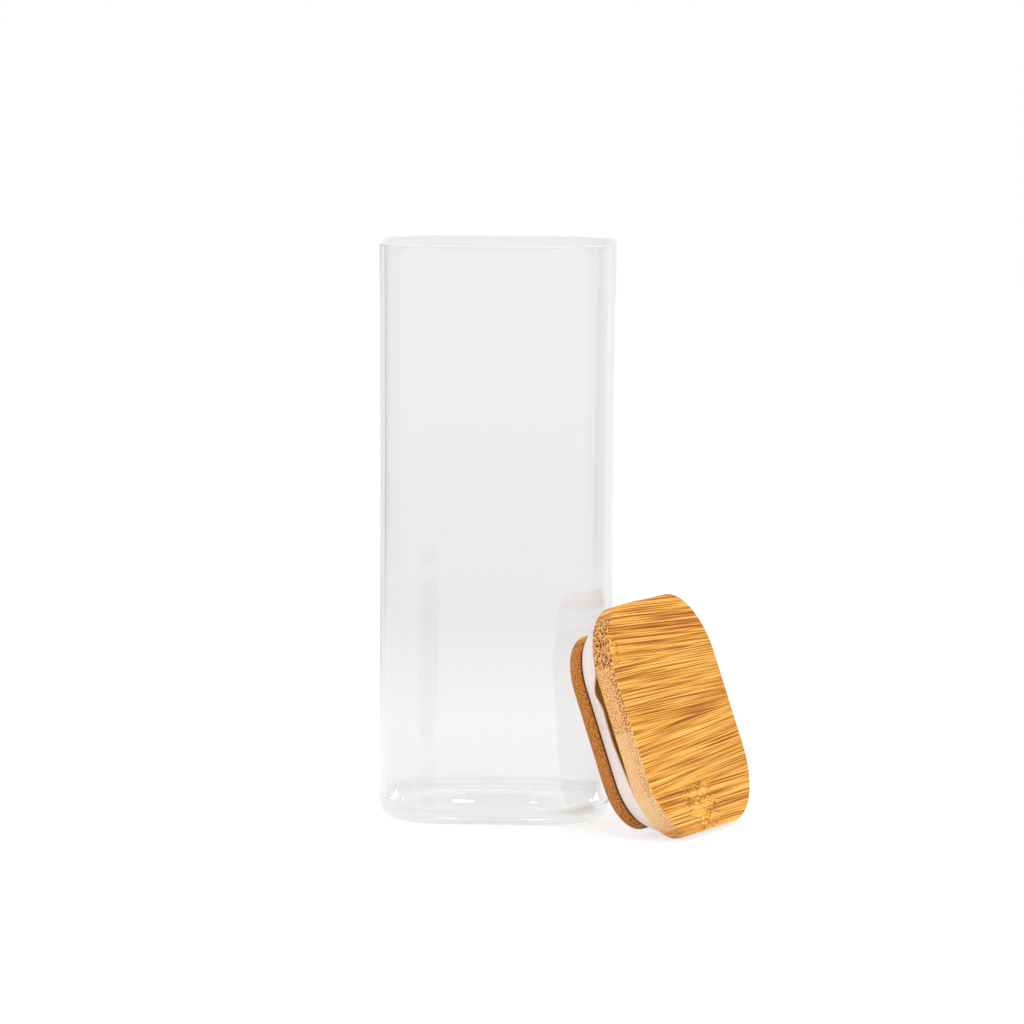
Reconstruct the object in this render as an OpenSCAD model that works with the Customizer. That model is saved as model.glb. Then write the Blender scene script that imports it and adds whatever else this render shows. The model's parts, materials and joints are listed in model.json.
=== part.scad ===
// Square glass canister with a bamboo lid that stands beside it.
// The canister stands on Z = 0 with its axis on +Z. The lid leans on the canister's front right
// corner, with its lower edge on the same surface.

/* [Glass] */
// Width across the flats at the rim
glass_w = 100; // [90:1:120]
// Height from the foot to the rim
glass_h = 246; // [180:1:300]
// Outer corner radius at the rim
corner_r = 29.5; // [22:0.5:34]
// How far each wall opens outwards between the straight body and the rim
flare = 0.65; // [0:0.05:2]
// Height at which the walls start to open
flare_start = 110; // [90:1:160]
// Thickness of the wall
wall = 2.4; // [1.6:0.1:3.6]
// Thickness of the floor
floor_t = 4.2; // [3:0.1:8]
// Outer rounding between the wall and the foot
heel_r = 7; // [5:0.5:10]
// Inner rounding between the wall and the floor
inner_heel_r = 6; // [3:0.5:9]
// Diameter of the round hollow under the floor
punt_d = 43; // [20:1:60]
// Depth of the hollow under the floor
punt_depth = 0.8; // [0.3:0.1:2]

/* [Lid board] */
// How far the board stands out past the rim on each side
board_overhang = 0.3; // [0:0.1:4]
// Thickness of the board
board_t = 8.6; // [6:0.1:16]
// Rounding of the board's upper and lower edges
board_edge_r = 0.8; // [0.3:0.1:2]
// Width of one full bamboo strip
strip_w = 28.2; // [24:0.2:34]
// Distance from the board's middle to its first glued seam
first_seam = 26; // [20:0.5:32]

/* [Lid plug] */
// Width across the flats of the block that carries the gasket
core_w = 78; // [70:0.5:80]
// Height of the block, which is the gap between the board and the lower plate
core_h = 10.4; // [8:0.2:16]
// Width across the flats of the lower plate
plate_w = 84.4; // [82:0.2:88]
// Thickness of the lower plate
plate_t = 6.2; // [5:0.1:10]
// Rounding of the lower plate's edges
plate_edge_r = 2.4; // [0.8:0.1:2.4]

/* [Gasket] */
// Thickness of the gasket's fin
fin_t = 1.3; // [0.8:0.1:2]
// Height of the band that grips the block
band_h = 3.3; // [2:0.1:4]
// Thickness of the band that grips the block
band_t = 2.2; // [1.6:0.1:2.6]
// Depth of the fin's lip below the board
lip_drop = 3.2; // [1:0.1:4]
// Height of the fin's upturned part
lip_rise = 2.4; // [1.6:0.1:2.6]
// How far the upturned part leans outwards
lip_flare = 1.9; // [0.6:0.1:2.4]
// Clearance between the lip and the inside of the mouth when the lid is on
lip_gap = 0.4; // [0.3:0.05:1]

/* [Leaning lid] */
// Direction of the lid's lower edge on the surface, turned from +X
lid_yaw = 66; // [50:1:80]
// Angle by which the lid leans back from upright
lean = 19.5; // [12:0.5:26]
// Place of the lid along its lower edge
lid_shift = -13.6; // [-20:0.2:0]
// Space left between the lid and the glass that it leans on
rest_gap = 0.3; // [0.3:0.05:0.6]

/* [Hidden] */
$fn = 96;
// Half of the straight run between two corners, which every piece shares
run = glass_w / 2 - corner_r;
body_half = glass_w / 2 - flare;
rim_r = wall / 2;
board_half = glass_w / 2 + board_overhang;
core_half = core_w / 2;
plate_half = plate_w / 2;
lip_half = half_at(glass_h - lip_drop) - wall - lip_gap;
punt_sphere_r = (punt_d * punt_d / 4 + punt_depth * punt_depth) / (2 * punt_depth);
// Heights at which the wall's slope is stepped
wall_steps = [for (k = [0:8]) flare_start + k / 8 * (glass_h - rim_r - flare_start)];
// How far the leaning lid reaches below its own centre and towards the glass
lid_below = max(below(board_half, 0, board_edge_r),
                below(plate_half, -core_h - plate_t, plate_edge_r));
lid_behind = max(behind(board_half, 0, board_edge_r),
                 behind(plate_half, -core_h - plate_t, plate_edge_r));
// Height at which the lower plate's upper edge meets the glass
touch_z = lid_below + (plate_half - plate_edge_r) * cos(lean)
          - (core_h + plate_t - plate_edge_r) * sin(lean);
glass_reach = run * (sin(lid_yaw) + cos(lid_yaw)) + half_at(touch_z) - run;
// Ends of the board, past which the outer strips are cut
board_far = board_half + 1;

// Half width of the glass at height z
function half_at(z) =
    body_half + flare * pow(max(0, (z - flare_start) / (glass_h - flare_start)), 2);
// Depth below the lid's centre of a lower edge at half width h and local height z, rounded by r
function below(h, z, r) = (h - r) * cos(lean) - (z + r) * sin(lean) + r;
// Reach of the same edge towards the glass
function behind(h, z, r) = (h - r) * sin(lean) - (z + r) * cos(lean) + r;

// Ring with rounded corners. The child is its section, with X measured from the corner's axis.
module around() {
    for (k = [0:3])
        rotate([0, 0, 90 * k])
            translate([run, run, 0]) {
                rotate_extrude(angle = 90)
                    children();
                rotate([90, 0, 0])
                    linear_extrude(2 * run)
                        children();
            }
}

// Slab with rounded corners from height z0 to z1, its upper and lower edges rounded by r
module slab(half, z0, z1, r) {
    side = half - run;
    around() {
        translate([0, z0])
            square([side - r, z1 - z0]);
        translate([0, z0 + r])
            square([side, z1 - z0 - 2 * r]);
        for (z = [z0 + r, z1 - r])
            translate([side - r, z])
                circle(r);
    }
    translate([-run, -run, z0])
        cube([2 * run, 2 * run, z1 - z0]);
}

// Section of a vessel's surface: half width lowered by inset, bottom at z0, heel rounding r
module vessel_section(inset, z0, r) {
    side = body_half - inset - run;
    top = glass_h - rim_r;
    translate([0, z0])
        square([side - r, r]);
    translate([side - r, z0 + r])
        circle(r);
    polygon(concat([[0, top], [0, z0 + r], [side, z0 + r]],
                   [for (z = wall_steps) [half_at(z) - inset - run, z]]));
}

// Section of the glass from the corner's axis to the outside
module glass_section() {
    difference() {
        vessel_section(0, 0, heel_r);
        vessel_section(wall, floor_t, inner_heel_r);
    }
    translate([half_at(glass_h - rim_r) - rim_r - run, glass_h - rim_r])
        circle(rim_r);
}

// Blown glass body, open at the top
module glass_body() {
    color([0.86, 0.90, 0.90, 0.35])
        difference() {
            union() {
                around()
                    glass_section();
                translate([-run, -run, 0])
                    cube([2 * run, 2 * run, floor_t]);
            }
            translate([0, 0, punt_depth - punt_sphere_r])
                sphere(punt_sphere_r);
        }
}

// Places the lid's own frame, with its centre on the board's underside, in the leaning pose
module leaning() {
    along = glass_reach + rest_gap + lid_behind;
    translate([sin(lid_yaw) * along + cos(lid_yaw) * lid_shift,
               -cos(lid_yaw) * along + sin(lid_yaw) * lid_shift,
               lid_below])
        rotate([90 - lean, 0, lid_yaw])
            children();
}

// One bamboo strip of the board, between the heights of its two glued seams
module board_strip(low, high) {
    color([0.90, 0.66, 0.32])
        leaning()
            intersection() {
                slab(board_half, 0, board_t, board_edge_r);
                translate([-board_far, low, -1])
                    cube([2 * board_far, high - low, board_t + 2]);
            }
}

// Block between the board and the lower plate
module plug_block() {
    color([0.72, 0.46, 0.20])
        leaning() {
            translate([0, 0, -core_h])
                around()
                    square([core_half - run, core_h]);
            translate([-run, -run, -core_h])
                cube([2 * run, 2 * run, core_h]);
        }
}

// Straight piece of the gasket's section from p to q, of thickness t with round ends
module limb(p, q, t) {
    side = [p[1] - q[1], q[0] - p[0]] / norm(q - p) * t / 2;
    polygon([p + side, p - side, q - side, q + side]);
    for (end = [p, q])
        translate(end)
            circle(t / 2);
}

// Section of the gasket: a band round the block and a thin fin that opens towards the board
module gasket_section() {
    inner = core_half - run;
    root = [inner + band_t - fin_t / 2, -core_h + fin_t / 2];
    lip = [lip_half - run - fin_t / 2, -lip_drop - fin_t / 2];
    knee = lip - [lip_flare, lip_rise];
    translate([inner, -core_h])
        square([band_t, band_h]);
    limb(root, knee, fin_t);
    limb(knee, lip, fin_t);
}

// Soft ring that closes the mouth
module gasket() {
    color([0.93, 0.90, 0.89])
        leaning()
            around()
                gasket_section();
}

// Rounded plate that keeps the gasket on the block
module lower_plate() {
    color([0.76, 0.50, 0.24])
        leaning()
            slab(plate_half, -core_h - plate_t, -core_h, plate_edge_r);
}

glass_body();
board_strip(first_seam, board_far);  // board_strip_1
board_strip(first_seam - strip_w, first_seam);  // board_strip_2
board_strip(first_seam - 2 * strip_w, first_seam - strip_w);  // board_strip_3
board_strip(-board_far, first_seam - 2 * strip_w);  // board_strip_4
plug_block();
gasket();
lower_plate();
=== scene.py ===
import json
import math

import bmesh
import bpy
from mathutils import Matrix, Vector


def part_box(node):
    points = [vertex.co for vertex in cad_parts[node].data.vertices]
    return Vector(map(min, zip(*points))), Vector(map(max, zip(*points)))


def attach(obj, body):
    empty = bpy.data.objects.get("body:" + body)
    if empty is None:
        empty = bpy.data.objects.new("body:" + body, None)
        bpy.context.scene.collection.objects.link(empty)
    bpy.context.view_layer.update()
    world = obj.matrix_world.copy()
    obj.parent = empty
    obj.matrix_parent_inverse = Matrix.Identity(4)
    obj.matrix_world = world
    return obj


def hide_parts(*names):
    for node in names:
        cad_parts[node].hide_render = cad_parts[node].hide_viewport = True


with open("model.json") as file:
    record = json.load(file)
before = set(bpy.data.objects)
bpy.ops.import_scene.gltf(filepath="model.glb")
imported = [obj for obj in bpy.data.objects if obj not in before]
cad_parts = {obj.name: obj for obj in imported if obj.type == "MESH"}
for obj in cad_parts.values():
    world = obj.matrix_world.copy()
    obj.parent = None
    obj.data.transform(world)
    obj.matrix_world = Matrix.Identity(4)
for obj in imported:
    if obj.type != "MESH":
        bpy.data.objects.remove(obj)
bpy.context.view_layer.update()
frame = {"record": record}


# ---- Glass body ----
# One piece of clear borosilicate glass, blown into a square mould. The walls open a little towards
# a fire-polished rim, the floor is thicker than the walls, and a round hollow under it keeps the
# canister from rocking.
mm = 0.001
glass_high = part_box("glass_body")[1]
glass_top = glass_high.z
rim_half = glass_high.x
# Half of the straight run between two corners, which the lid's pieces share.
run = 20.5 * mm
flare = 0.65 * mm
flare_start = 110 * mm
wall = 2.4 * mm
# The rim is rounded by a little less than half of the wall, so that its two roundings stay apart.
rim_r = 0.995 * wall / 2
floor_t = 4.2 * mm
heel_r = 7 * mm
inner_heel_r = 6 * mm
punt_r = 21.5 * mm
punt_depth = 0.8 * mm
corner_steps = 32
flare_steps = 16
heel_steps = 12
rim_steps = 8
punt_steps = 8
# Places that are nearer to each other than this count as one.
hair = 0.01 * mm
# Faces that meet at a sharper angle than this keep a hard edge.
hard_edge = math.radians(60)


def only(piece):
    """Makes the piece the only selected one."""
    bpy.ops.object.select_all(action="DESELECT")
    piece.select_set(True)
    bpy.context.view_layer.objects.active = piece


def edit(piece):
    """Opens the piece by itself in edit mode."""
    only(piece)
    bpy.ops.object.mode_set(mode="EDIT")


def done():
    """Leaves edit mode."""
    bpy.ops.object.mode_set(mode="OBJECT")


def pick(kind, wanted):
    """In edit mode, selects only those vertices, edges or faces that pass the test."""
    bpy.ops.mesh.select_mode(type=kind)
    bpy.ops.mesh.select_all(action="DESELECT")
    mesh = bmesh.from_edit_mesh(bpy.context.object.data)
    mesh.normal_update()
    for element in {"VERT": mesh.verts, "EDGE": mesh.edges, "FACE": mesh.faces}[kind]:
        if wanted(element):
            element.select_set(True)
    mesh.select_flush_mode()
    bmesh.update_edit_mesh(bpy.context.object.data)


def at_height(edge, height):
    """True if both ends of the edge lie at that height."""
    return all(abs(v.co.z - height) < hair for v in edge.verts)


def on_ring(edge, radius):
    """True if both ends of the edge lie at that distance from the Z axis."""
    return all(abs(v.co.xy.length - radius) < hair for v in edge.verts)


def on_outline(edge, height):
    """True for an edge at that height between a level face and a standing one."""
    levels = [abs(face.normal.z) > 0.5 for face in edge.link_faces]
    return at_height(edge, height) and len(levels) == 2 and levels[0] != levels[1]


def round_outlines(heights, radius, steps):
    """In edit mode, rounds the outlines of the level faces at the given heights."""
    pick("EDGE", lambda edge: any(on_outline(edge, height) for height in heights))
    bpy.ops.mesh.bevel(offset=radius, segments=steps, affect="EDGES")


def face_outwards():
    """In edit mode, selects the whole piece and turns its faces outwards."""
    bpy.ops.mesh.select_all(action="SELECT")
    bpy.ops.mesh.normals_make_consistent(inside=False)


def rounded_square(name, half, height):
    """A level face with rounded corners, centred on the Z axis, left open in edit mode."""
    bpy.ops.object.select_all(action="DESELECT")
    bpy.ops.mesh.primitive_plane_add(size=2 * half, location=(0, 0, height))
    piece = bpy.context.object
    piece.name = name
    bpy.ops.object.transform_apply(location=True, rotation=True, scale=True)
    edit(piece)
    bpy.ops.mesh.select_all(action="SELECT")
    bpy.ops.mesh.bevel(offset=half - run, segments=corner_steps, affect="VERTICES")
    bpy.ops.mesh.select_mode(type="FACE")
    bpy.ops.mesh.select_all(action="SELECT")
    return piece


def raise_face(up, widen=1.0):
    """Extrudes the selected face upwards and widens it."""
    bpy.ops.mesh.extrude_region_move(TRANSFORM_OT_translate={"value": (0, 0, up)})
    bpy.ops.transform.resize(value=(widen, widen, 1), center_override=(0, 0, 0))


def wall_half(height):
    """Half width of the glass at that height."""
    return rim_half - flare + flare * (max(0, height - flare_start) / (glass_top - flare_start)) ** 2


def vessel(name, inset, bottom, heel):
    """A surface of the glass that lies inset from its outside: bottom, heel and walls, open at the rim."""
    piece = rounded_square(name, wall_half(0) - inset, bottom)
    raise_face(flare_start - bottom)
    height = flare_start
    step = (glass_top - flare_start) / flare_steps
    for k in range(flare_steps):
        raise_face(step, (wall_half(height + step) - inset) / (wall_half(height) - inset))
        height += step
    bpy.ops.mesh.delete(type="ONLY_FACE")
    face_outwards()
    round_outlines([bottom], heel, heel_steps)
    done()
    return piece


def smooth(piece):
    """Smooth shading that keeps the flat faces flat and the cut edges sharp."""
    only(piece)
    bpy.ops.object.shade_smooth_by_angle(angle=hard_edge)
    weighted = piece.modifiers.new("weighted", "WEIGHTED_NORMAL")
    weighted.keep_sharp = True
    bpy.ops.object.modifier_apply(modifier="weighted")


glass = vessel("canister_glass", 0, 0, heel_r)
inside = vessel("inner_wall", wall, floor_t, inner_heel_r)
edit(inside)
bpy.ops.mesh.select_all(action="SELECT")
bpy.ops.mesh.flip_normals()
done()
only(glass)
inside.select_set(True)
bpy.ops.object.join()
edit(glass)
pick("EDGE", lambda edge: at_height(edge, glass_top))
bpy.ops.mesh.bridge_edge_loops()
round_outlines([glass_top], rim_r, rim_steps)

# The foot is cut open round a ring, and the ring is closed by a shallow dome.
pick("FACE", lambda face: face.normal.z < -0.9 and abs(face.calc_center_median().z) < hair)
bpy.ops.mesh.delete(type="ONLY_FACE")
bpy.ops.mesh.primitive_circle_add(vertices=4 * (corner_steps + 1), radius=punt_r, location=(0, 0, 0))
pick("EDGE", lambda edge: at_height(edge, 0))
bpy.ops.mesh.fill(use_beauty=True)
pick("EDGE", lambda edge: at_height(edge, 0) and on_ring(edge, punt_r))
for k in range(1, punt_steps):
    near, far = 1 - (k - 1) / punt_steps, 1 - k / punt_steps
    raise_face(punt_depth * (near ** 2 - far ** 2), far / near)
bpy.ops.mesh.edge_face_add()
face_outwards()
done()
smooth(glass)


def put(tree, kind, values=(), **settings):
    """Adds a node, sets its properties, and gives each named input its value or its link."""
    node = tree.nodes.new("ShaderNode" + kind)
    for key, value in settings.items():
        setattr(node, key, value)
    for socket, value in dict(values).items():
        if isinstance(value, bpy.types.NodeSocket):
            tree.links.new(value, node.inputs[socket])
        else:
            node.inputs[socket].default_value = value
    return node


def maths(tree, operation, *values):
    """Output of a Math node."""
    return put(tree, "Math", enumerate(values), operation=operation).outputs[0]


def new_material(name, piece):
    """A material with nothing but its output, on the piece."""
    material = bpy.data.materials.new(name)
    material.use_nodes = True
    material.node_tree.nodes.clear()
    piece.data.materials.clear()
    piece.data.materials.append(material)
    tree = material.node_tree
    return tree, put(tree, "OutputMaterial")


# Light that is caught between the two faces of the glass leaves it again after a few reflections.
glass_ior = 1.47
air_ior = 1.0
most_mirrors = 2.5
tree, output = new_material("clear_glass", glass)
spot = put(tree, "TexCoord").outputs["Object"]
drawn = put(tree, "Mapping", {"Vector": spot, "Scale": (45, 45, 6)}).outputs[0]
ripple = put(tree, "TexNoise", {"Vector": drawn, "Scale": 1.0, "Detail": 1.0}).outputs[0]
waves = put(tree, "Bump", {"Height": ripple, "Strength": 0.008, "Distance": 0.4 * mm}).outputs[0]
caught = maths(tree, "GREATER_THAN", put(tree, "LightPath").outputs["Glossy Depth"], most_mirrors)
bend = put(tree, "Mix", {0: caught, 2: glass_ior, 3: air_ior}).outputs[0]
body = put(tree, "BsdfPrincipled", {"Base Color": (1, 1, 1, 1), "Roughness": 0.0, "IOR": bend,
                                    "Transmission Weight": 1.0, "Normal": waves})
lamp_light = put(tree, "BsdfTransparent", {"Color": (0.97, 0.98, 0.975, 1)})
shadow_ray = put(tree, "LightPath").outputs["Is Shadow Ray"]
surface = put(tree, "MixShader", {0: shadow_ray, 1: body.outputs[0], 2: lamp_light.outputs[0]})
tree.links.new(surface.outputs[0], output.inputs["Surface"])
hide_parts("glass_body")
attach(glass, "canister")


# ---- Lid board ----
# Four flat bamboo strips, glued edge to edge, planed and rounded to one square board. The culm's
# inner side faces up, so that its fibre bundles show as long streaks there and as pores on the
# ends. The first and the last strip each have a knuckle of the culm in them.
board_half = 50.3 * mm
board_t = 8.6 * mm
board_edge_r = 0.8 * mm
board_seams = [26 * mm, -2.2 * mm, -30.4 * mm]
relief = 0.1 * mm
# A painted crevice shade whose line lies above the whole lid darkens nothing.
no_crevice_shade = board_half

# The lid's own frame is that of its mount, raised by a hair so that nothing dips below the ground.
plug = next(mount for mount in frame["record"]["mounts"] if mount["name"] == "lid_plug")
lid_up = -Vector(plug["axis"]).normalized()
lid_along = Vector((0, 0, 1)).cross(lid_up).normalized()
lid_turn = Matrix((lid_along, lid_up.cross(lid_along), lid_up)).transposed()
lid_place = Matrix.Translation(Vector(plug["pos_m"]) + Vector((0, 0, hair))) @ lid_turn.to_4x4()


def slab(name, half, low, high, round_r, steps):
    """A rounded square slab with its outer edges rounded."""
    piece = rounded_square(name, half, low)
    raise_face(high - low)
    face_outwards()
    round_outlines([low, high], round_r, steps)
    done()
    return piece


def lay_on_lid(piece):
    """Puts a piece made flat on the Z axis where the leaning lid has it, in its mesh."""
    only(piece)
    piece.matrix_world = lid_place
    bpy.ops.object.transform_apply(location=True, rotation=True, scale=True)


def fade(tree, value, low, high, at_low=0.0, at_high=1.0):
    """Smooth step of a value between two levels."""
    levels = {"Value": value, "From Min": low, "From Max": high, "To Min": at_low, "To Max": at_high}
    return put(tree, "MapRange", levels, interpolation_type="SMOOTHSTEP").outputs[0]


def blend(tree, share, first, second, **settings):
    """Mix of two colours."""
    return put(tree, "Mix", {0: share, 6: first, 7: second}, data_type="RGBA", **settings).outputs[2]


def srgb(red, green, blue):
    """A colour as a paint chart gives it, from 0 to 255, made linear."""
    return tuple(((c / 255 + 0.055) / 1.055) ** 2.4 for c in (red, green, blue)) + (1,)


def stops(tree, value, places):
    """A colour that runs from stop to stop, each given as its place and its colour."""
    ramp = put(tree, "ValToRGB", {0: value})
    elements = ramp.color_ramp.elements
    elements.remove(elements[1])
    for k, (place, colour) in enumerate(places):
        stop = elements.new(place) if k else elements[0]
        stop.position = place
        stop.color = (*colour[:3], 1)
    return ramp.outputs[0]


# Scales of the bamboo's patterns, in waves per metre along, across and through a strip
drift_scale = (7, 20, 9)
curl_scale = (330, 620, 300)
band_scale = (8, 130, 60)
streak_scale = (15, 520, 90)
hair_scale = (16, 2200, 110)
mottle_scale = (120, 200, 100)
thread_scale = (18, 1900, 140)


def bamboo_group():
    """The look of bamboo in the lid's own frame, with its fibres along X and the board's face up Z."""
    group = bpy.data.node_groups.new("bamboo", "ShaderNodeTree")
    socket = group.interface.new_socket
    for name, kind in (("Shift", "Vector"), ("Slope", "Float"), ("Knuckle", "Vector"),
                       ("Knuckle Size", "Float"), ("Pore Size", "Float"), ("Pores", "Float"),
                       ("Deep Pores", "Float"), ("Tone", "Float"), ("Dye", "Color"),
                       ("End Pale", "Color"), ("End Dark", "Color"), ("Glue Line", "Float")):
        socket(name, in_out="INPUT", socket_type="NodeSocket" + kind)
    for name, kind in (("Color", "Color"), ("Roughness", "Float"), ("Height", "Float")):
        socket(name, in_out="OUTPUT", socket_type="NodeSocket" + kind)
    given = group.nodes.new("NodeGroupInput").outputs
    result = group.nodes.new("NodeGroupOutput").inputs
    coords = put(group, "TexCoord")
    place = put(group, "Mapping", {"Vector": coords.outputs["Object"], "Location": lid_place.translation,
                                   "Rotation": lid_turn.to_euler()}, vector_type="TEXTURE").outputs[0]
    flat = put(group, "SeparateXYZ", {0: place}).outputs

    def noise(vector, scale, detail):
        stretched = put(group, "Mapping", {"Vector": vector, "Scale": scale}).outputs[0]
        return put(group, "TexNoise", {"Vector": stretched, "Scale": 1.0, "Detail": detail}).outputs

    def sway(vector, scale, amount):
        moved = noise(vector, scale, 1.0)["Color"]
        moved = put(group, "VectorMath", {0: moved, 1: (0.5, 0.5, 0.5)}, operation="SUBTRACT").outputs[0]
        return put(group, "VectorMath", {0: moved, 1: amount}, operation="MULTIPLY").outputs[0]

    # The fibres run almost straight; in the knuckle they curl.
    near = put(group, "VectorMath", {0: place, 1: given["Knuckle"]}, operation="DISTANCE").outputs["Value"]
    knot = fade(group, maths(group, "DIVIDE", near, given["Knuckle Size"]), 0.5, 1.0, 1.0, 0.0)
    curls = sway(place, curl_scale, (50 * mm, 4 * mm, 0))
    curls = put(group, "VectorMath", {0: curls, "Scale": knot}, operation="SCALE").outputs[0]
    slope = put(group, "CombineXYZ", {1: maths(group, "MULTIPLY", flat[0], given["Slope"])}).outputs[0]
    culm = put(group, "VectorMath", {0: place, 1: given["Shift"]}, operation="ADD").outputs[0]
    drift = sway(culm, drift_scale, (0, 2 * mm, 0))
    for change, offset in (("ADD", drift), ("ADD", curls), ("SUBTRACT", slope)):
        culm = put(group, "VectorMath", {0: culm, 1: offset}, operation=change).outputs[0]
    across = put(group, "SeparateXYZ", {0: culm}).outputs

    # Long streaks of pale and amber fibres on the face, with darker threads between them.
    def add(total, part, weight):
        return maths(group, "MULTIPLY_ADD", maths(group, "SUBTRACT", part, 0.5), weight, total)

    shade = add(0.5, noise(culm, band_scale, 1.0)[0], 0.35)
    shade = add(shade, noise(culm, streak_scale, 1.0)[0], 0.2)
    hairs = noise(culm, hair_scale, 1.0)[0]
    shade = add(shade, hairs, 3.2)
    mottle = maths(group, "MULTIPLY", add(0.04, noise(place, mottle_scale, 0.0)[0], 1.0), knot)
    shade = maths(group, "ADD", shade, mottle)
    thread = fade(group, noise(culm, thread_scale, 0.0)[0], 0.57, 0.65)
    shade = maths(group, "MULTIPLY_ADD", thread, -0.3, maths(group, "ADD", shade, given["Tone"]))
    face = stops(group, shade, ((0.0, srgb(158, 80, 2)), (0.25, srgb(202, 122, 20)),
                                (0.5, srgb(228, 158, 48)), (0.75, srgb(243, 178, 70)),
                                (1.0, srgb(252, 198, 98))))
    face = blend(group, 1.0, face, given["Dye"], blend_type="MULTIPLY")

    # On the ends the fibre bundles show as pores, dark near the board's face and fainter below.
    def bundles(size, edge, core):
        width = maths(group, "MULTIPLY", given["Pore Size"], size)
        section = put(group, "CombineXYZ", {0: maths(group, "DIVIDE", across[1], width),
                                            1: maths(group, "DIVIDE", across[2], width)}).outputs[0]
        cell = put(group, "TexVoronoi", {"Vector": section, "Scale": 1.0, "Randomness": 0.85},
                   voronoi_dimensions="2D").outputs
        chance = put(group, "SeparateColor", {0: cell["Color"]}).outputs[0]
        strength = fade(group, chance, 0.0, 0.5, 0.4, 1.0)
        return maths(group, "MULTIPLY", fade(group, cell["Distance"], edge, core), strength)

    depth = maths(group, "MAXIMUM", fade(group, flat[2], 1 * mm, 8 * mm), given["Deep Pores"])
    pores = maths(group, "MULTIPLY", depth, given["Pores"])
    end = put(group, "VectorMath", {0: coords.outputs["Normal"], 1: lid_along}, operation="DOT_PRODUCT")
    end = fade(group, maths(group, "ABSOLUTE", end.outputs["Value"]), 0.3, 0.7)
    dots = maths(group, "MULTIPLY", bundles(0.6, 0.5, 0.22), 0.6)
    dots = maths(group, "MULTIPLY", maths(group, "MAXIMUM", bundles(1.0, 0.5, 0.26), dots), pores)
    ends = blend(group, dots, given["End Pale"], given["End Dark"])

    # A painted shade, as in a crevice, darkens the wood above the shade line. Threads and pores are sunk and
    # a little duller.
    crevice_shade = srgb(104, 40, 4)
    crevice_shaded = maths(group, "SUBTRACT", flat[2], given["Glue Line"])
    crevice_shaded = fade(group, crevice_shaded, -0.2 * mm, 0.15 * mm, 0.0, 0.85)
    wood = blend(group, crevice_shaded, blend(group, end, face, ends), crevice_shade)
    group.links.new(wood, result["Color"])
    dark = put(group, "Mix", {0: end, 2: thread, 3: dots}).outputs[0]
    group.links.new(fade(group, dark, 0.0, 1.0, 0.45, 0.6), result["Roughness"])
    sunk = maths(group, "MULTIPLY", dark, -1.0)
    group.links.new(maths(group, "MULTIPLY_ADD", hairs, 0.5, sunk), result["Height"])
    return group


bamboo = bamboo_group()


def bamboo_finish(name, piece, **values):
    """Planed and oiled bamboo on the piece."""
    tree, output = new_material(name, piece)
    grain = tree.nodes.new("ShaderNodeGroup")
    grain.node_tree = bamboo
    for key, value in values.items():
        grain.inputs[key.replace("_", " ")].default_value = value
    bump = put(tree, "Bump", {"Height": grain.outputs["Height"], "Strength": 0.5, "Distance": relief})
    wood = put(tree, "BsdfPrincipled", {"Base Color": grain.outputs["Color"], "IOR": 1.5,
                                        "Specular IOR Level": 0.2, "Normal": bump.outputs[0],
                                        "Roughness": grain.outputs["Roughness"]})
    tree.links.new(wood.outputs[0], output.inputs["Surface"])


board = slab("board", board_half, 0, board_t, board_edge_r, steps=5)
seams = [2 * board_half] + board_seams + [-2 * board_half]
# A knuckle as far off as this shows nowhere on the strip.
no_knuckle = ((0, 0, 500), 1)
strips = [
    # Shift of the culm in metres, slope of its fibres, the knuckle's place and size in millimetres, pore
    # size in millimetres, strength of the pores and of the deep ones, tone, and how pale the ends are
    ((0.31, 0.12, 0.05), -0.05, ((-49, 31, 8), 13), 1.15, 1.0, 1.0, 0.05, 0.0),
    ((0.77, 0.43, 0.02), -0.015, no_knuckle, 1.1, 0.95, 0.55, 0.0, 0.3),
    ((0.15, 0.88, 0.09), 0.035, no_knuckle, 0.9, 0.7, 0.4, 0.06, 0.7),
    ((0.52, 0.29, 0.07), 0.0, ((-7, -39, 8), 19), 0.85, 0.5, 0.4, 0.08, 0.9),
]
for k, (shift, slope, (knuckle, knuckle_size), pore, pores, deep, tone, pale) in enumerate(strips):
    only(board)
    bpy.ops.object.duplicate()
    strip = bpy.context.object
    strip.name = f"bamboo_strip_{k + 1}"
    edit(strip)
    for seam, side in ((seams[k], 1), (seams[k + 1], -1)):
        if abs(seam) < board_half:
            bpy.ops.mesh.select_all(action="SELECT")
            bpy.ops.mesh.bisect(plane_co=(0, seam, 0), plane_no=(0, side, 0), clear_outer=True, use_fill=True)
    done()
    smooth(strip)
    lay_on_lid(strip)
    end_pale = Vector(srgb(246, 180, 106)).lerp(Vector(srgb(243, 203, 150)), pale)
    end_dark = Vector(srgb(104, 50, 12)).lerp(Vector(srgb(170, 106, 54)), pale)
    bamboo_finish(f"bamboo_strip_{k + 1}", strip, Shift=shift, Slope=slope, Knuckle=mm * Vector(knuckle),
                  Knuckle_Size=knuckle_size * mm, Pore_Size=pore * mm, Pores=pores, Deep_Pores=deep,
                  Tone=tone, Dye=(1, 1, 1, 1), End_Pale=end_pale, End_Dark=end_dark, Glue_Line=no_crevice_shade)
    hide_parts(f"board_strip_{k + 1}")
    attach(strip, "lid")
bpy.data.objects.remove(board)
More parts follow.
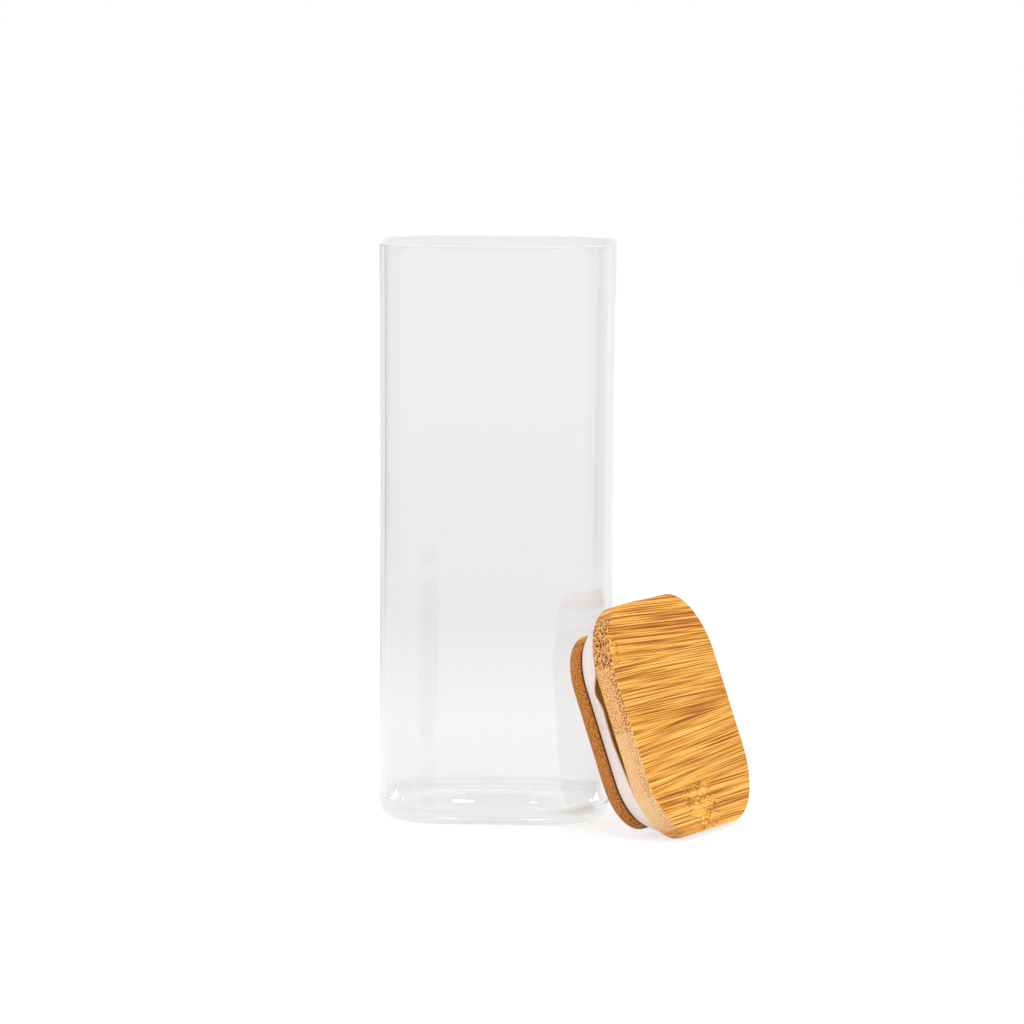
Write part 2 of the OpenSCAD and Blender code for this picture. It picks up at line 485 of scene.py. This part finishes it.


# ---- Plug ----
# A bamboo block under the board carries the seal, and a second, darker plate of bamboo with fully
# rounded edges is glued under it to keep the seal on. The block shows only in the gap above the
# seal, and its ends are painted paler to make up for the shade there. A painted shade darkens the
# upper edge of the plate, in the crevice under the seal.
core_half = 39 * mm
core_h = 10.4 * mm
core_edge_r = 0.3 * mm
plate_half = 42.2 * mm
plate_t = 6.2 * mm
plate_edge_r = 2.4 * mm
crevice_shade_h = 0.5 * mm
block = slab("plug_core", core_half, -core_h, 0, core_edge_r, steps=2)
plate = slab("seal_plate", plate_half, -core_h - plate_t, -core_h, plate_edge_r, steps=8)
for piece, node, end_pale, pores, crevice_shade_line in (
        # The block's ends are painted paler, as painted light that makes up for the shade in the gap above
        # the seal.
        (block, "plug_block", srgb(255, 206, 116), 0.3, no_crevice_shade),
        # The lower plate gets a painted shade along its upper edge, in the crevice under the seal.
        (plate, "lower_plate", srgb(218, 140, 64), 0.75, -core_h - crevice_shade_h)):
    smooth(piece)
    lay_on_lid(piece)
    bamboo_finish("bamboo_" + node, piece, Shift=(0.23, 0.61, 0.4), Slope=0.0, Knuckle=(0, 0, 1),
                  Knuckle_Size=1 * mm, Pore_Size=0.8 * mm, Pores=pores, Deep_Pores=1.0, Tone=0.0,
                  Dye=srgb(222, 208, 196), End_Pale=end_pale, End_Dark=srgb(84, 38, 4), Glue_Line=crevice_shade_line)
    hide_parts(node)
    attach(piece, "lid")


# ---- Gasket ----
# A ring of soft, milky silicone, moulded with a band that grips the block and a thin fin that
# opens towards the board. The fin is slack, so its lip hangs down a little and waves from corner
# to corner.
band_t = 2.2 * mm
band_h = 3.3 * mm
band_half = core_half + band_t
fin_t = 1.3 * mm
root_top = -core_h + fin_t
lip_half = 47.17 * mm
lip_drop = 3.2 * mm
lip_rise = 2.4 * mm
lip_flare = 1.9 * mm
# The lip is rounded by a little less than half of the fin, so that its two roundings stay apart.
lip_r = 0.99 * fin_t / 2
lip_hang = 0.4 * mm
lip_wave = 2.9 * mm
lip_dip = 2.4 * mm
dip_place = 18 * mm
dip_width = 5 * mm
foot_r = 1.1 * mm
# How far the section's edge is turned at the fin's middle, knee and lip, in radians
fin_slopes = (0.9, 0.85, 1.0)
turn_steps = 32
side_steps = 12
lip_steps = 4
foot_steps = 3


def sweep_round(piece):
    """Turns the section in the XZ plane at Y = run round one corner and mirrors it to a closed ring."""
    bpy.ops.mesh.select_all(action="SELECT")
    bpy.ops.mesh.spin(steps=turn_steps, angle=math.pi / 2, center=(run, run, 0), axis=(0, 0, -1))
    for k in range(side_steps):
        bpy.ops.mesh.extrude_region_move(TRANSFORM_OT_translate={"value": (-run / side_steps, 0, 0)})
    pick("FACE", lambda face: abs(face.normal.y) > 0.99 and abs(face.calc_center_median().y - run) < hair)
    for k in range(side_steps):
        bpy.ops.mesh.extrude_region_move(TRANSFORM_OT_translate={"value": (0, -run / side_steps, 0)})
    pick("FACE", lambda face: min(abs(face.calc_center_median().x), abs(face.calc_center_median().y)) < hair)
    bpy.ops.mesh.delete(type="FACE")
    done()
    mirror = piece.modifiers.new("mirror", "MIRROR")
    mirror.use_axis = (True, True, False)
    mirror.merge_threshold = hair
    bpy.ops.object.modifier_apply(modifier="mirror")
    edit(piece)
    bpy.ops.mesh.select_all(action="SELECT")
    bpy.ops.mesh.remove_doubles(threshold=hair)
    face_outwards()
    done()


# The section starts as the band. The fin's root is cut into it, and the fin grows out of that.
bpy.ops.object.select_all(action="DESELECT")
bpy.ops.mesh.primitive_plane_add(size=1, rotation=(math.pi / 2, 0, 0))
gasket = bpy.context.object
gasket.name = "silicone_ring"
gasket.scale = (band_t, band_h, 1)
gasket.location = (core_half + band_t / 2, run, -core_h + band_h / 2)
bpy.ops.object.transform_apply(location=True, rotation=True, scale=True)
at = Vector((band_half, run, -core_h + fin_t / 2))
lip = Vector((lip_half - fin_t / 2, run, -lip_drop - fin_t / 2))
knee = lip - Vector((lip_flare, 0, lip_rise))
lip += (lip - knee).normalized() * fin_t / 2
middle = (at + knee) / 2
edit(gasket)
bpy.ops.mesh.select_all(action="SELECT")
bpy.ops.mesh.bisect(plane_co=(0, 0, root_top), plane_no=(0, 0, 1))
pick("EDGE", lambda edge: all(v.co.x > band_half - hair and v.co.z < root_top + hair for v in edge.verts))
turned = 0.0
for goal, slope in zip((middle, knee, lip), fin_slopes):
    bpy.ops.mesh.extrude_region_move(TRANSFORM_OT_translate={"value": goal - at})
    bpy.ops.transform.rotate(value=slope - turned, orient_axis="Y", center_override=goal)
    at, turned = goal, slope
bpy.ops.mesh.bevel(offset=lip_r, segments=lip_steps, affect="VERTICES")
pick("VERT", lambda v: (v.co.xz - Vector((band_half, -core_h))).length < hair)
bpy.ops.mesh.bevel(offset=foot_r, segments=foot_steps, affect="VERTICES")
sweep_round(gasket)

# The fin hangs and waves, more so the nearer it is to the lip, and one side has a dip besides.
for v in gasket.data.vertices:
    share = max(0, v.co.z - root_top) / (-lip_drop - root_top)
    beside = Vector((max(0, abs(v.co.x) - run), max(0, abs(v.co.y) - run)))
    if beside.length > band_half - run - hair:
        around = math.atan2(v.co.y, v.co.x)
        dip = lip_dip * math.exp(-((v.co.y - dip_place) / dip_width) ** 2)
        if abs(v.co.x) < abs(v.co.y):
            dip = 0
        v.co.z += share * (lip_wave * math.sin(2 * around) ** 2 - dip)
        v.co.y -= lip_hang * share
smooth(gasket)
lay_on_lid(gasket)
tree, output = new_material("milky_silicone", gasket)
spot = put(tree, "TexCoord").outputs["Object"]
dust = put(tree, "TexNoise", {"Vector": spot, "Scale": 900.0, "Detail": 3.0}).outputs[0]
cloud = put(tree, "TexNoise", {"Vector": spot, "Scale": 60.0, "Detail": 2.0}).outputs[0]
milk = blend(tree, fade(tree, cloud, 0.3, 0.7), srgb(243, 232, 226), srgb(236, 221, 213))
grain = put(tree, "Bump", {"Height": dust, "Strength": 0.15, "Distance": 0.03 * mm}).outputs[0]
skin = put(tree, "BsdfPrincipled", {"Base Color": milk, "IOR": 1.41, "Normal": grain,
                                    "Roughness": fade(tree, dust, 0.3, 0.7, 0.34, 0.46),
                                    "Subsurface Weight": 0.35, "Subsurface Radius": (1.0, 0.5, 0.35),
                                    "Subsurface Scale": 2 * mm})
tree.links.new(skin.outputs[0], output.inputs["Surface"])
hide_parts("gasket")
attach(gasket, "lid")


# ---- Studio ----
# A white floor that runs on into a white surround, with soft lamps around. Floor and surround each
# have one level for the eye, one for reflections and one for what is seen through the glass, and the
# floor keeps the soft shadow of what stands on it.
floor_size = 8.0
floor_drop = 0.05 * mm
floor_white = 0.9
floor_shown = 0.42
# The floor's stops, as they show through the glass, run from the middle out to this distance.
stops_reach = 2.5
# A painted brownish shade of the lid on the floor, which shows through the glass where the lid rests
lid_shade = (0.60, 0.53, 0.48, 1)
lid_shade_place = (0.06, -0.045, 0)
# How much of the light each grey card takes away
left_card = 0.6
right_card = 0.14
# How much duller the mirrored floor is straight behind the canister, next to that, and at its sides
dull_straight = 0.45
dull_near = 0.34
dull_far = 0.08
# How bright the surround is as a light, in a reflection in front and behind, and through the glass
surround_lit = 0.75
mirrored_front = 0.35
mirrored_back = 0.86
through_low = 0.85
through_high = 0.75


def seen_rays(tree):
    """Is Camera Ray, Is Glossy Ray and Is Transmission Ray."""
    rays = put(tree, "LightPath").outputs
    return rays["Is Camera Ray"], rays["Is Glossy Ray"], rays["Is Transmission Ray"]


def past_cards(tree, east, north, strength):
    """Share of the light that comes past two grey cards. Directions are in degrees to the right of north."""
    turn = maths(tree, "MULTIPLY", maths(tree, "ARCTAN2", east, north), 180 / math.pi)
    left = maths(tree, "MULTIPLY", fade(tree, turn, -110, -80), fade(tree, turn, -37, -45))
    right = maths(tree, "MULTIPLY", fade(tree, turn, 6, 10), fade(tree, turn, 19, 14))
    dark = maths(tree, "MULTIPLY_ADD", right, right_card, maths(tree, "MULTIPLY", left, left_card))
    return maths(tree, "SUBTRACT", 1.0, maths(tree, "MULTIPLY", dark, strength))


bpy.ops.object.select_all(action="DESELECT")
bpy.ops.mesh.primitive_plane_add(size=floor_size, location=(0, 0, -floor_drop))
ground = bpy.context.object
ground.name = "studio_floor"
tree, output = new_material("studio_floor", ground)
eye, mirrored, through = seen_rays(tree)
spot = put(tree, "TexCoord").outputs["Object"]
reach = put(tree, "VectorMath", {0: spot}, operation="LENGTH").outputs["Value"]
east, north = put(tree, "SeparateXYZ", {0: spot}).outputs[:2]

# Through the glass the floor's white changes with its distance and is darker under the canister, as a painted
# shade, and it has a painted shade of the lid where that rests.
beyond = stops(tree, maths(tree, "DIVIDE", reach, stops_reach), (
    (0.000, (0.75, 0.75, 0.74)), (0.010, (0.77, 0.77, 0.76)), (0.015, (0.87, 0.87, 0.85)),
    (0.025, (0.77, 0.77, 0.77)), (0.032, (0.88, 0.88, 0.88)), (0.050, (0.90, 0.90, 0.90)),
    (0.120, (0.91, 0.91, 0.91)), (0.220, (0.85, 0.85, 0.85)), (0.290, (0.80, 0.80, 0.80)),
    (0.380, (0.815, 0.81, 0.825)), (0.600, (0.82, 0.82, 0.82)), (0.960, (0.845, 0.845, 0.845))))
beside_lid = put(tree, "VectorMath", {0: spot, 1: lid_shade_place}, operation="DISTANCE").outputs["Value"]
beyond = blend(tree, fade(tree, beside_lid, 0.01, 0.04, 1.0, 0.0), beyond, lid_shade)
# Far off, the floor seen through the glass gets a painted shade where the two grey cards would shade it.
cards = past_cards(tree, east, north, fade(tree, reach, 0.55, 1.4))
beyond = put(tree, "Emission", {"Color": beyond, "Strength": cards})

# In a reflection the floor behind the canister is duller, most of all straight behind it.
aside = maths(tree, "ABSOLUTE", maths(tree, "DIVIDE", east, north))
straight = fade(tree, aside, 0.1, 0.3, dull_straight, 0.0)
duller = maths(tree, "MAXIMUM", fade(tree, aside, 0.45, 1.2, dull_near, dull_far), straight)
duller = maths(tree, "MULTIPLY", fade(tree, north, 0.0, 0.5), duller)
duller = maths(tree, "MULTIPLY", duller, mirrored)
level = maths(tree, "SUBTRACT", fade(tree, reach, 0.4, 1.2, 0.7, 1.0), duller)

# Where it is seen or mirrored the floor glows as well, so that its shadows are soft and pale.
glow = put(tree, "Emission", {"Color": (1, 1, 1, 1), "Strength": level})
shown = put(tree, "BsdfDiffuse", {"Color": (floor_shown, floor_shown, floor_shown, 1)})
shown = put(tree, "AddShader", {0: shown.outputs[0], 1: glow.outputs[0]})
lit = put(tree, "BsdfDiffuse", {"Color": (floor_white, floor_white, floor_white, 1)})
surface = put(tree, "MixShader", {0: maths(tree, "MAXIMUM", eye, mirrored), 1: lit.outputs[0],
                                  2: shown.outputs[0]})
surface = put(tree, "MixShader", {0: through, 1: surface.outputs[0], 2: beyond.outputs[0]})
tree.links.new(surface.outputs[0], output.inputs["Surface"])

# The surround is plain white to the eye, and less bright in a reflection and through the glass.
world = bpy.data.worlds.new("surround")
bpy.context.scene.world = world
world.use_nodes = True
tree = world.node_tree
tree.nodes.clear()
eye, mirrored, through = seen_rays(tree)
east, north, height = put(tree, "SeparateXYZ", {0: put(tree, "TexCoord").outputs["Generated"]}).outputs
behind = fade(tree, height, 0.5, 0.65, through_low, through_high)
behind = maths(tree, "MULTIPLY", past_cards(tree, east, north, 1.0), behind)
around = fade(tree, north, -0.2, 0.2, mirrored_front, mirrored_back)
level = put(tree, "Mix", {0: mirrored, 2: surround_lit, 3: around}).outputs[0]
level = put(tree, "Mix", {0: through, 2: level, 3: behind}).outputs[0]
level = put(tree, "Mix", {0: eye, 2: level, 3: 1.0}).outputs[0]
sky = put(tree, "Background", {"Color": (1, 1, 1, 1), "Strength": level})
tree.links.new(sky.outputs[0], put(tree, "OutputWorld").inputs["Surface"])


def soft_box(name, place, aim, width, height, power):
    """A soft lamp at a place, turned to a point."""
    lamp = bpy.data.lights.new(name, "AREA")
    lamp.shape = "RECTANGLE"
    lamp.size = width
    lamp.size_y = height
    lamp.energy = power
    box = bpy.data.objects.new(name, lamp)
    bpy.context.scene.collection.objects.link(box)
    box.location = place
    box.rotation_mode = "QUATERNION"
    box.rotation_quaternion = (Vector(aim) - Vector(place)).to_track_quat("-Z", "Y")
    box.visible_camera = False


soft_box("left_box", (-1.3, -1.0, 0.9), (0, 0, 0.1), 1.2, 0.9, 6)
soft_box("right_box", (1.25, -1.15, 0.8), (0, 0, 0.1), 1.4, 0.8, 10)
soft_box("top_box", (0.1, -0.2, 1.8), (0, 0, 0), 1.2, 1.2, 6)
soft_box("left_strip", (-0.4, 1.33, 1.3), (0, 0, 0), 0.3, 0.15, 0.4)
soft_box("right_strip", (0.4, 1.33, 1.3), (0, 0, 0), 0.3, 0.15, 0.4)

# The camera stands a little above the rim, far off, and looks slightly down.
look = Vector((-0.036218, 0.994879, -0.094360)).normalized()
up = Vector((-0.0090825, 0.0940903, 0.9955222)).normalized()
view = bpy.data.cameras.new("camera")
view.lens = 195.4
view.sensor_width = 36
view.clip_start = 0.1
view.clip_end = 50
camera = bpy.data.objects.new("camera", view)
bpy.context.scene.collection.objects.link(camera)
camera.location = (0.09268, -2.37661, 0.35483)
camera.rotation_mode = "QUATERNION"
camera.rotation_quaternion = Matrix((look.cross(up), up, -look)).transposed().to_quaternion()
bpy.context.scene.camera = camera
bpy.context.scene.view_settings.view_transform = "Standard"
